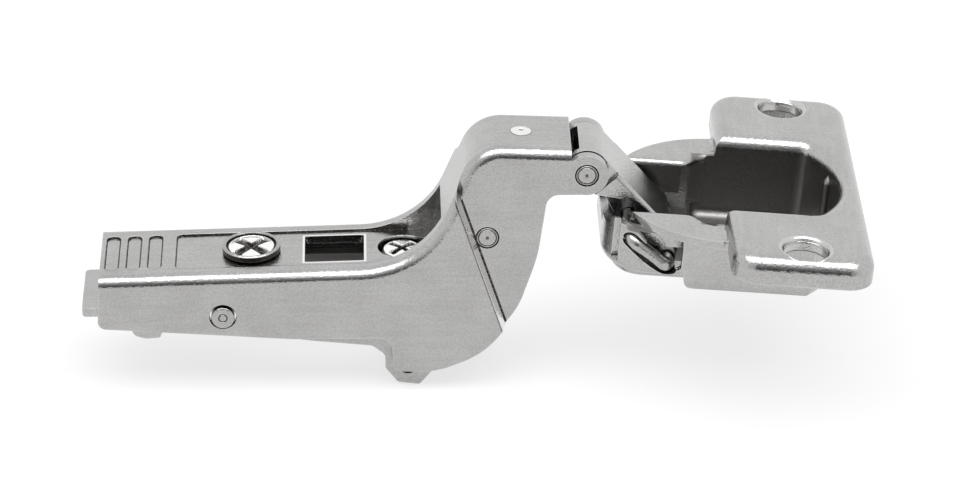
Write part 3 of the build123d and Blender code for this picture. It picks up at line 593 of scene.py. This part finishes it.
def turned(profile, centre, axis, across, relief=None, around=128, step=0.04 * MM):
    """Surface of revolution: the profile's radius and height turned about an axis through a centre.

    relief(x, y, height) lowers a point by a depth that depends on its place seen along the axis. The
    result is the points, with each one's place across the axis and height along it.
    """
    radius, height = profile_points(profile, step).T
    angle = np.linspace(0, 2 * np.pi, around, endpoint=False)
    x = radius[:, None] * np.cos(angle)
    y = radius[:, None] * np.sin(angle)
    height = np.broadcast_to(height[:, None], x.shape)
    if relief:
        height = height - relief(x, y, height)
    axis = np.array(axis, float)
    across = np.array(across, float)
    side = np.cross(axis, across)
    points = np.array(centre) + x[..., None] * across + y[..., None] * side + height[..., None] * axis
    return points, x, y, height


def cross_depth(x, y, reach, half_width, flare, depth):
    """Depth of a four-armed recess: full within its arms' walls and reach, easing off over a short edge.

    The arms lie between the axes, widen outwards by the flare and grow shallower towards their ends.
    """
    edge = 0.1 * MM
    taper = 0.35
    one_way = np.abs(x + y) / np.sqrt(2)
    other_way = np.abs(x - y) / np.sqrt(2)
    long_way = np.maximum(one_way, other_way)
    short_way = np.minimum(one_way, other_way)
    wall = smooth((half_width + flare * long_way - short_way) / edge)
    end = smooth((reach - long_way) / edge)
    return depth * wall * end * (1 - taper * long_way / reach)


CAM_LEAN = radians(1.24)
CAM_HEAD_DEPTH = 0.98 * MM
CAM_LOBE_RADIUS = 3.3 * MM
CAM_GROOVE_RADIUS = 3.32 * MM
CAM_RIM_RADIUS = 3.64 * MM
CAM_PROFILE = [
    (0, 0.62), (3.26, 0.62), (3.36, 0.35), (3.6, 0.35), (3.66, 0.84), (3.8, 0.9), (4.0, 0.9), (4.2, 0.76),
    (4.2, 0.0), (2.8, 0.0), (2.8, -2.0), (0, -2.0),
]


def make_cam_screw():
    """Depth cam: a head with a rim and a ring groove, and its shaft, turned about a leaning axis.

    Inside the groove the top is lowered by a cross recess or a slope to the groove, whichever is deeper.
    """
    centre = middle("depth_cam_screw")
    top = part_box("depth_cam_screw")[1][2]
    axis = (-sin(CAM_LEAN), 0, cos(CAM_LEAN))
    across = (cos(CAM_LEAN), 0, sin(CAM_LEAN))
    seat = np.array([centre[0], centre[1], top - CAM_HEAD_DEPTH])

    def relief(x, y, height):
        radius = np.hypot(x, y)
        recess = cross_depth(x, y, reach=3.5 * MM, half_width=0.62 * MM, flare=0.1, depth=1.0 * MM)
        slope = 0.12 * MM * smooth((radius - 2.4 * MM) / (0.9 * MM))
        on_lobes = (height > 0.6 * MM) & (radius < CAM_LOBE_RADIUS)
        return np.where(on_lobes, np.maximum(recess, slope), 0)

    points, x, y, height = turned(CAM_PROFILE, seat, axis, across, relief, around=192)
    radius = np.hypot(x, y)
    inside = radius < CAM_LOBE_RADIUS
    lobes = (height > 0.46 * MM) & inside
    recess = (height < 0.44 * MM) & inside
    groove = (radius >= CAM_GROOVE_RADIUS) & (radius < CAM_RIM_RADIUS)
    below_rim = (height < 0.7 * MM) & (radius > CAM_RIM_RADIUS)
    # Painted highlight on the lobes, painted shade in the cross recess, the ring groove and below the rim
    light_and_gloss = lobes * 1.0 - recess * 0.75 - (groove | below_rim) * 0.95
    stand_for(grid_piece("cam_screw_turned", points, screw_steel, light_and_gloss), "depth_cam_screw")


SIDE_SCREW_PROFILE = [
    (0, 0), (2.3, 0), (2.65, -0.12), (2.95, -0.5), (2.95, -2.2), (1.5, -2.2), (1.5, -4.3),
    (2.5, -4.3), (2.5, -5.3), (0, -5.3),
]


def make_side_screw():
    """Side screw: a chamfered head, neck and foot turned upright, the top cut by a cross recess."""
    centre = middle("side_screw")
    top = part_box("side_screw")[1][2]

    def relief(x, y, height):
        recess = cross_depth(x, y, reach=2.4 * MM, half_width=0.36 * MM, flare=0.12, depth=1.3 * MM)
        return np.where(height > -0.1 * MM, recess, 0)

    seat = (centre[0], centre[1], top)
    points, _, _, height = turned(SIDE_SCREW_PROFILE, seat, (0, 0, 1), (1, 0, 0), relief, around=160)
    top_face = height > -0.16 * MM
    below_chamfer = height < -0.5 * MM
    # Painted highlight on the top face, painted shade below the chamfer
    light_and_gloss = top_face * 1.0 - below_chamfer * 0.8
    stand_for(grid_piece("side_screw_turned", points, screw_steel, light_and_gloss), "side_screw")


# Pin ends: radius and height over the end face, from the middle out to the shank
RIVET_END = [
    (0, -0.08), (0.2, -0.08), (0.3, -0.01), (1.18, 0), (1.24, -0.13), (1.36, -0.13), (1.4, -0.03),
    (1.48, -0.02), (1.54, -0.14), (1.56, -0.5), (1.74, -0.52), (1.74, -1.2),
]
TILT_END = [
    (0, 0), (0.46, 0), (0.52, -0.1), (0.66, -0.1), (0.72, 0), (1.5, 0), (1.62, -0.06), (1.68, -0.2),
    (1.68, -0.6),
]
PINS = {
    "outer_link_axle": (1.5, RIVET_END),
    "inner_link_axle": (1.5, RIVET_END),
    "rear_tilt_pin": (1.68, TILT_END),
}


def make_pin(name):
    """Pin across the hinge: an end's profile, the shank and the mirrored end, turned about its axis."""
    shank_radius, end_profile = PINS[name]
    low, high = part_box(name)
    half = (high[1] - low[1]) / 2 / MM
    near = [(radius, half + height) for radius, height in end_profile]
    shank = [(shank_radius, near[-1][1]), (shank_radius, -near[-1][1])]
    far = [(radius, -height) for radius, height in reversed(near)]
    profile = [*near, *shank, *far]
    centre = middle(name)
    points, x, y, height = turned(profile, centre, (0, -1, 0), (1, 0, 0), around=96, step=0.08 * MM)
    below_end = half * MM - np.abs(height)
    groove = (below_end > 0.07 * MM) & (np.hypot(x, y) < 1.5 * MM)
    shank_side = below_end > 0.3 * MM
    # Painted shade in the end grooves and on the shank
    light_and_gloss = (groove | shank_side) * -0.85
    stand_for(grid_piece(name + "_turned", points, pin_steel, light_and_gloss), name)


# Springs: inner radius, wire, turns and points in each turn
CLOSING_COIL = (1.06 * MM, 0.34 * MM, 7, 36)
SPRINGS = {
    "closing_spring_near": CLOSING_COIL,
    "closing_spring_far": CLOSING_COIL,
    "lever_spring": (1.1 * MM, 0.7 * MM, 8, 32),
}
WIRE_SIDES = 10


def make_spring(name):
    """Round wire wound about an axis along Y: a circle carried along a helix, its ends pointed."""
    inner, wire, turns, around = SPRINGS[name]
    centre = middle(name)
    radius = inner + wire / 2
    rows = int(turns * around) + 1
    turn = np.linspace(0, turns * 2 * np.pi, rows)
    cap = np.ones(rows)
    cap[[0, -1]] = 0
    cap[[1, -2]] = 0.8
    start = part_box(name)[0][1]
    y = start + wire * (0.5 + turn / (2 * np.pi) * (turns - 1) / turns)
    angle = np.linspace(0, 2 * np.pi, WIRE_SIDES, endpoint=False)
    thick = wire / 2 * cap[:, None]
    reach = radius + thick * np.cos(angle)
    points = np.stack([
        centre[0] + reach * np.cos(turn)[:, None],
        y[:, None] + thick * np.sin(angle),
        centre[2] + reach * np.sin(turn)[:, None],
    ], -1)
    stand_for(grid_piece(name + "_coil", points, spring_steel), name)


HEAD_MARK = (16.45 * MM, 0, 34.5 * MM)
HEAD_OUT = (0.044, 0, 0.999)
HEAD_ALONG = (0.999, 0, -0.044)
HEAD_MARK_PROFILE = [
    (0, -0.1), (0.16, 0.0), (0.36, 0.26), (0.6, 0.33), (0.95, 0.28), (1.35, 0.13), (1.6, 0.0),
    (1.65, -0.1), (1.4, -0.2), (0, -0.2),
]


def make_head_mark():
    """Low round bead with a pit in its middle, coined on the head's flat top: a turned profile."""
    points, x, y, height = turned(HEAD_MARK_PROFILE, HEAD_MARK, HEAD_OUT, HEAD_ALONG, around=64)
    radius = np.hypot(x, y)
    crown = height > 0.08 * MM
    pit = radius < 0.3 * MM
    foot = radius > 1.52 * MM
    # Painted highlight on the crown, painted shade in the pit and round the foot
    light_and_gloss = crown * 0.8 - pit * 1.5 - foot * 0.9
    join_body(grid_piece("head_bead", points, pin_steel, light_and_gloss), "arm")


RIB_BEARING = radians(19)
RIB_RADIUS = 0.85 * MM
RIB_HEIGHT = RIB_RADIUS * 0.8
RIB_TOP_N = -1.9 * MM
RIB_END_N = -12.2 * MM
RIB_RUN_OUT = 1.6 * MM
RIB_SINK = 0.05 * MM


def make_pocket_rib():
    """Half-round rib pressed up the pocket's right wall: a half ellipse carried down the wall.

    It grows from nothing over the run-out at the top, and the last ring closes the lower end.
    """
    n = np.append(np.linspace(RIB_TOP_N, RIB_END_N, 48), RIB_END_N)
    bend = np.linspace(-np.pi / 2, np.pi / 2, 12)
    cap = smooth((n[0] - n) / RIB_RUN_OUT)
    cap[-1] = 0
    inward = POCKET_RADIUS + RIB_SINK - RIB_HEIGHT * cap[:, None] * np.cos(bend)
    sideways = RIB_RADIUS * cap[:, None] * np.sin(bend)
    u = POCKET_CENTRE_U + inward * cos(RIB_BEARING) - sideways * sin(RIB_BEARING)
    v = inward * sin(RIB_BEARING) + sideways * cos(RIB_BEARING)
    points = cup_point(u, v, n[:, None])
    join_body(grid_piece("pocket_rib", points, cup_nickel), "cup")


SCREW_HOLE_V = 22.5 * MM
FLANGE_FLAT_HALF_WIDTH = 24.8 * MM
FLANGE_EDGE_RADIUS = 2.0 * MM
COLLAR_PROFILE = [
    (3.95, -0.05), (3.8, 0.03), (3.6, 0.0), (3.35, -0.18), (3.18, -0.5), (3.1, -1.0), (3.08, -1.9),
    (3.16, -2.06), (3.4, -2.06), (3.5, -1.9), (3.6, -0.8), (3.95, -0.05),
]


def make_screw_hole(place, side):
    """Drawn collar that lines a screw hole: a lip, a short neck and its rim, turned about the hole.

    Past the flange's flat it drops with the rolled edge: the edge's radius, less the root of the radius
    squared less the way past the flat squared.
    """
    hole_v = side * SCREW_HOLE_V

    def edge_drop(x, y, height):
        past_flat = np.clip(np.abs(hole_v + y) - FLANGE_FLAT_HALF_WIDTH, 0, FLANGE_EDGE_RADIUS)
        return FLANGE_EDGE_RADIUS - np.sqrt(FLANGE_EDGE_RADIUS**2 - past_flat**2)

    centre = cup_point(0, hole_v, 0)
    collar = turned(COLLAR_PROFILE, centre, CUP_OUT, CUP_ALONG, edge_drop, around=96, step=0.06 * MM)
    points, x, y, height = collar
    undropped = height + edge_drop(x, y, height)
    lip_and_neck = undropped > -1.7 * MM
    inner_rim = undropped < -1.85 * MM
    # A faint painted highlight on the lip and neck, painted shade on the inner rim
    light_and_gloss = lip_and_neck * 0.2 - inner_rim * 0.9
    join_body(grid_piece("screw_hole_" + place, points, pin_steel, light_and_gloss), "cup")


# The nodes whose pieces are worked out instead of dressed
worked_out = {"depth_cam_screw", "side_screw", *PINS, *SPRINGS}
for name in nodes:
    if name not in worked_out:
        dress(name)
make_cam_screw()
make_side_screw()
for name in PINS:
    make_pin(name)
for name in SPRINGS:
    make_spring(name)
make_head_mark()
make_pocket_rib()
make_screw_hole("near", -1)
make_screw_hole("far", 1)


# Floor, light and camera

FLOOR_CENTRE_X = 0.01
FLOOR_RADIUS = 0.17
FLOOR_SIDES = 96
FLOOR_GAP = 0.2 * MM
FLOOR_GREY = 0.93
FLOOR_GLOW = 0.7

# The world as metal sees it, what the dark screen takes off it, and the world as it lights matt surfaces
ROOM_STRENGTH = 1.08
SCREEN_STRENGTH = 0.99
FILL_STRENGTH = 0.7


def make_floor():
    """Pale round sheet under the hinge, wide enough for its shadow and its reflection."""
    low = Vector(cad_box[0])
    angle = np.linspace(0, 2 * np.pi, FLOOR_SIDES, endpoint=False)
    ring = np.stack([
        FLOOR_CENTRE_X + FLOOR_RADIUS * np.cos(angle),
        FLOOR_RADIUS * np.sin(angle),
        np.full(FLOOR_SIDES, low.z - FLOOR_GAP),
    ], -1)
    mesh = bpy.data.meshes.new("floor")
    mesh.from_pydata(ring, [], [tuple(range(FLOOR_SIDES))])
    floor = bpy.data.objects.new("floor", mesh)
    bpy.context.scene.collection.objects.link(floor)
    material, shader = new_material("pale floor")
    diffuse = shader.node("ShaderNodeBsdfDiffuse", {}, {"Color": (FLOOR_GREY, FLOOR_GREY, FLOOR_GREY, 1)})
    white = shader.node("ShaderNodeEmission", {}, {"Color": (1, 1, 1, 1), "Strength": 1.0})
    path = shader.node("ShaderNodeLightPath")
    seen = Value(shader, path.outputs["Is Camera Ray"]) + Value(shader, path.outputs["Is Glossy Ray"])
    mix = {0: seen * FLOOR_GLOW, 1: diffuse.outputs[0], 2: white.outputs[0]}
    lit = shader.node("ShaderNodeMixShader", {}, mix)
    shader.node("ShaderNodeOutputMaterial", {}, {"Surface": lit.outputs[0]})
    mesh.materials.append(material)


def make_world():
    """Studio round the hinge: white to the camera, and to metal a pale room with a dark screen in front.

    The screen is darkest low down, between a little below the horizon and half way up, and fades to the
    sides.
    """
    world = bpy.data.worlds.new("studio")
    world.use_nodes = True
    bpy.context.scene.world = world
    shader = Shader(world.node_tree)
    direction = shader.node("ShaderNodeTexCoord").outputs["Generated"]
    split = shader.node("ShaderNodeSeparateXYZ", {}, {0: direction})
    across, back, up = (Value(shader, socket) for socket in split.outputs)
    low_down = (up.rises(0.62, 0.46) * 0.8 + up.rises(0.22, 0.12) * 0.2) * up.rises(-0.5, -0.3)
    aside = (across * across).rises(0.1, 0.25)
    screen = (back.rises(-0.55, -0.75) * 0.55 + back.rises(-0.2, -0.55) * 0.45) * low_down
    in_front = screen * (1 - aside * 0.7)
    room = ROOM_STRENGTH - in_front * SCREEN_STRENGTH
    path = shader.node("ShaderNodeLightPath")
    camera_ray = Value(shader, path.outputs["Is Camera Ray"])
    glossy_ray = Value(shader, path.outputs["Is Glossy Ray"])
    unseen = glossy_ray * room + (1 - glossy_ray) * FILL_STRENGTH
    strength = camera_ray + (1 - camera_ray) * unseen
    background = shader.node("ShaderNodeBackground", {}, {"Color": (1, 1, 1, 1), "Strength": strength})
    shader.node("ShaderNodeOutputWorld", {}, {"Surface": background.outputs[0]})


def soft_light(name, place, aim, size, radiance):
    """Rectangular soft box of a given brightness."""
    data = bpy.data.lights.new(name, "AREA")
    data.shape = "RECTANGLE"
    data.size, data.size_y = size
    data.energy = radiance * np.pi * size[0] * size[1]
    lamp = bpy.data.objects.new(name, data)
    bpy.context.scene.collection.objects.link(lamp)
    lamp.location = place
    lamp.rotation_mode = "QUATERNION"
    lamp.rotation_quaternion = (Vector(aim) - Vector(place)).to_track_quat("-Z", "Y")


CAMERA_PLACE = (-0.00461, -0.60592, 0.33334)
CAMERA_LOOK = (0.02225, 0.88622, -0.46274)
CAMERA_LENS = 176.95
CAMERA_SENSOR = 36


def make_camera():
    """The photograph's camera in the hinge's own axes."""
    data = bpy.data.cameras.new("camera")
    data.sensor_width = CAMERA_SENSOR
    data.lens = CAMERA_LENS
    camera = bpy.data.objects.new("camera", data)
    bpy.context.scene.collection.objects.link(camera)
    camera.location = CAMERA_PLACE
    camera.rotation_mode = "QUATERNION"
    camera.rotation_quaternion = Vector(CAMERA_LOOK).to_track_quat("-Z", "Y")
    bpy.context.scene.camera = camera


make_floor()
make_world()
soft_light("overhead soft box", (0.0, -0.22, 0.66), aim=(0.01, 0, 0.01), size=(1.1, 0.45), radiance=3.0)
make_camera()
bpy.context.scene.view_settings.view_transform = "Standard"
